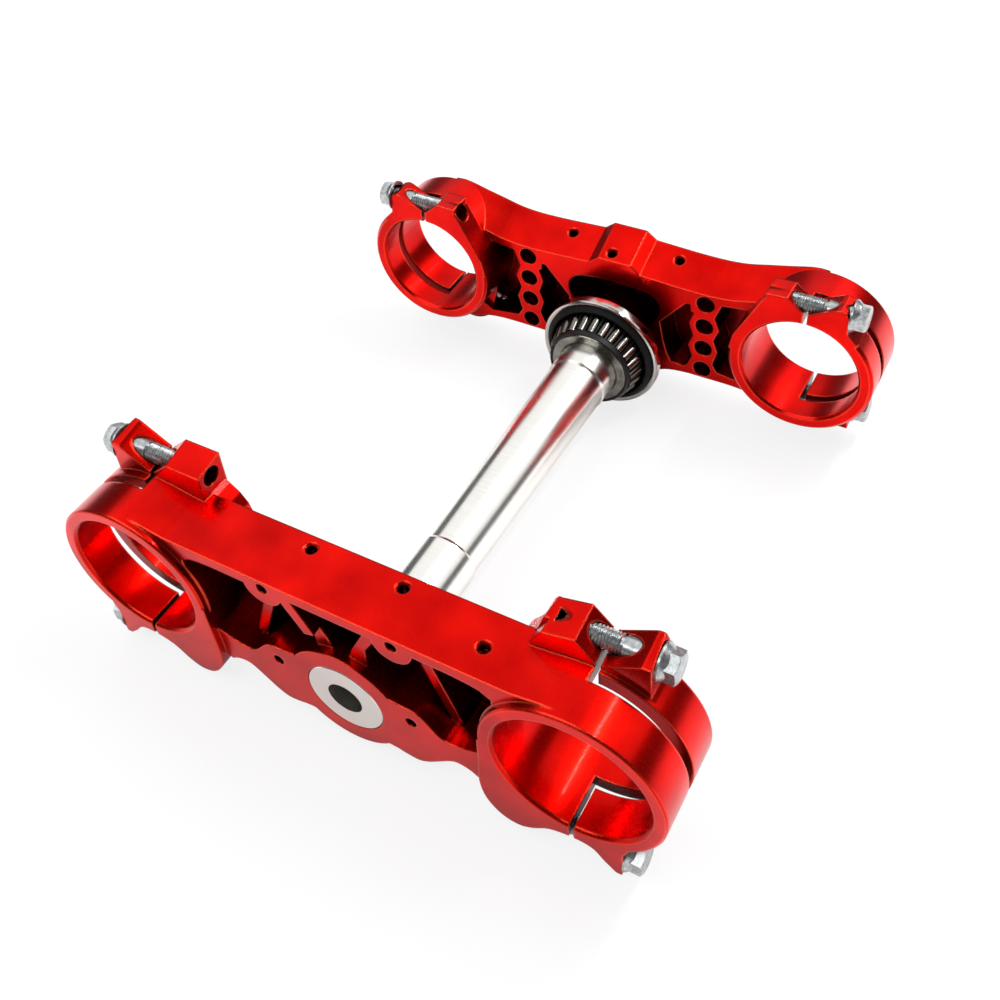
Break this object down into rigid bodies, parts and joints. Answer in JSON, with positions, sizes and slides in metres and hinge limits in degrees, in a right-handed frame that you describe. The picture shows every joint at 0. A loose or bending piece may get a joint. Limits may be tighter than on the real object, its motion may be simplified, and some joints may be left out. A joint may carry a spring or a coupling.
{
  "type": "motorcycle triple clamp",
  "caption": "Pair of split fork clamps on a hollow steering stem, with tapered roller bearings, dust cover and opposed pinch bolts.",
  "frame": {"origin": "centre of the stem's open end, level with the bottom face of the lower clamp", "axes": "+X across the forks to the right of the picture, +Y along the stem from the lower to the upper clamp, +Z to the front of the motorcycle"},
  "size_m": [0.268, 0.2749, 0.1009],
  "materials": {
    "anodised_red": "red anodised",
    "polished_stem": "polished",
    "zinc": "zinc plated",
    "bearing_steel": "ground",
    "cover_steel": "satin",
    "cage": "black phosphate",
    "seal": "matt"
  },
  "bodies": {
    "clamp_assembly": {"lower_clamp": "anodised_red", "upper_clamp": "anodised_red", "steering_stem": "polished_stem", "stem_nut": "zinc", "stem_washer": "zinc", "upper_bearing_cone": "bearing_steel", "upper_dust_cover": "cover_steel", "upper_dust_seal": "seal", "lower_bearing_cone": "bearing_steel", "lower_dust_seal": "seal", "bolt_lower_front_left": "zinc", "bolt_lower_front_right": "zinc", "bolt_lower_rear_left": "zinc", "bolt_lower_rear_right": "zinc", "bolt_upper_front_left": "zinc", "bolt_upper_front_right": "zinc", "bolt_upper_rear_left": "zinc", "bolt_upper_rear_right": "zinc"},
    "upper_roller_set": {"upper_bearing_cage": "cage", "upper_bearing_rollers": "bearing_steel"},
    "lower_roller_set": {"lower_bearing_cage": "cage", "lower_bearing_rollers": "bearing_steel"}
  },
  "joints": [
    {"name": "upper_rollers_turn", "type": "hinge", "parent": "clamp_assembly", "child": "upper_roller_set", "pos_m": [0, 0.2188, 0], "axis": [0, 1, 0], "continuous": true},
    {"name": "lower_rollers_turn", "type": "hinge", "parent": "clamp_assembly", "child": "lower_roller_set", "pos_m": [0, 0.0375, 0], "axis": [0, 1, 0], "continuous": true}
  ]
}
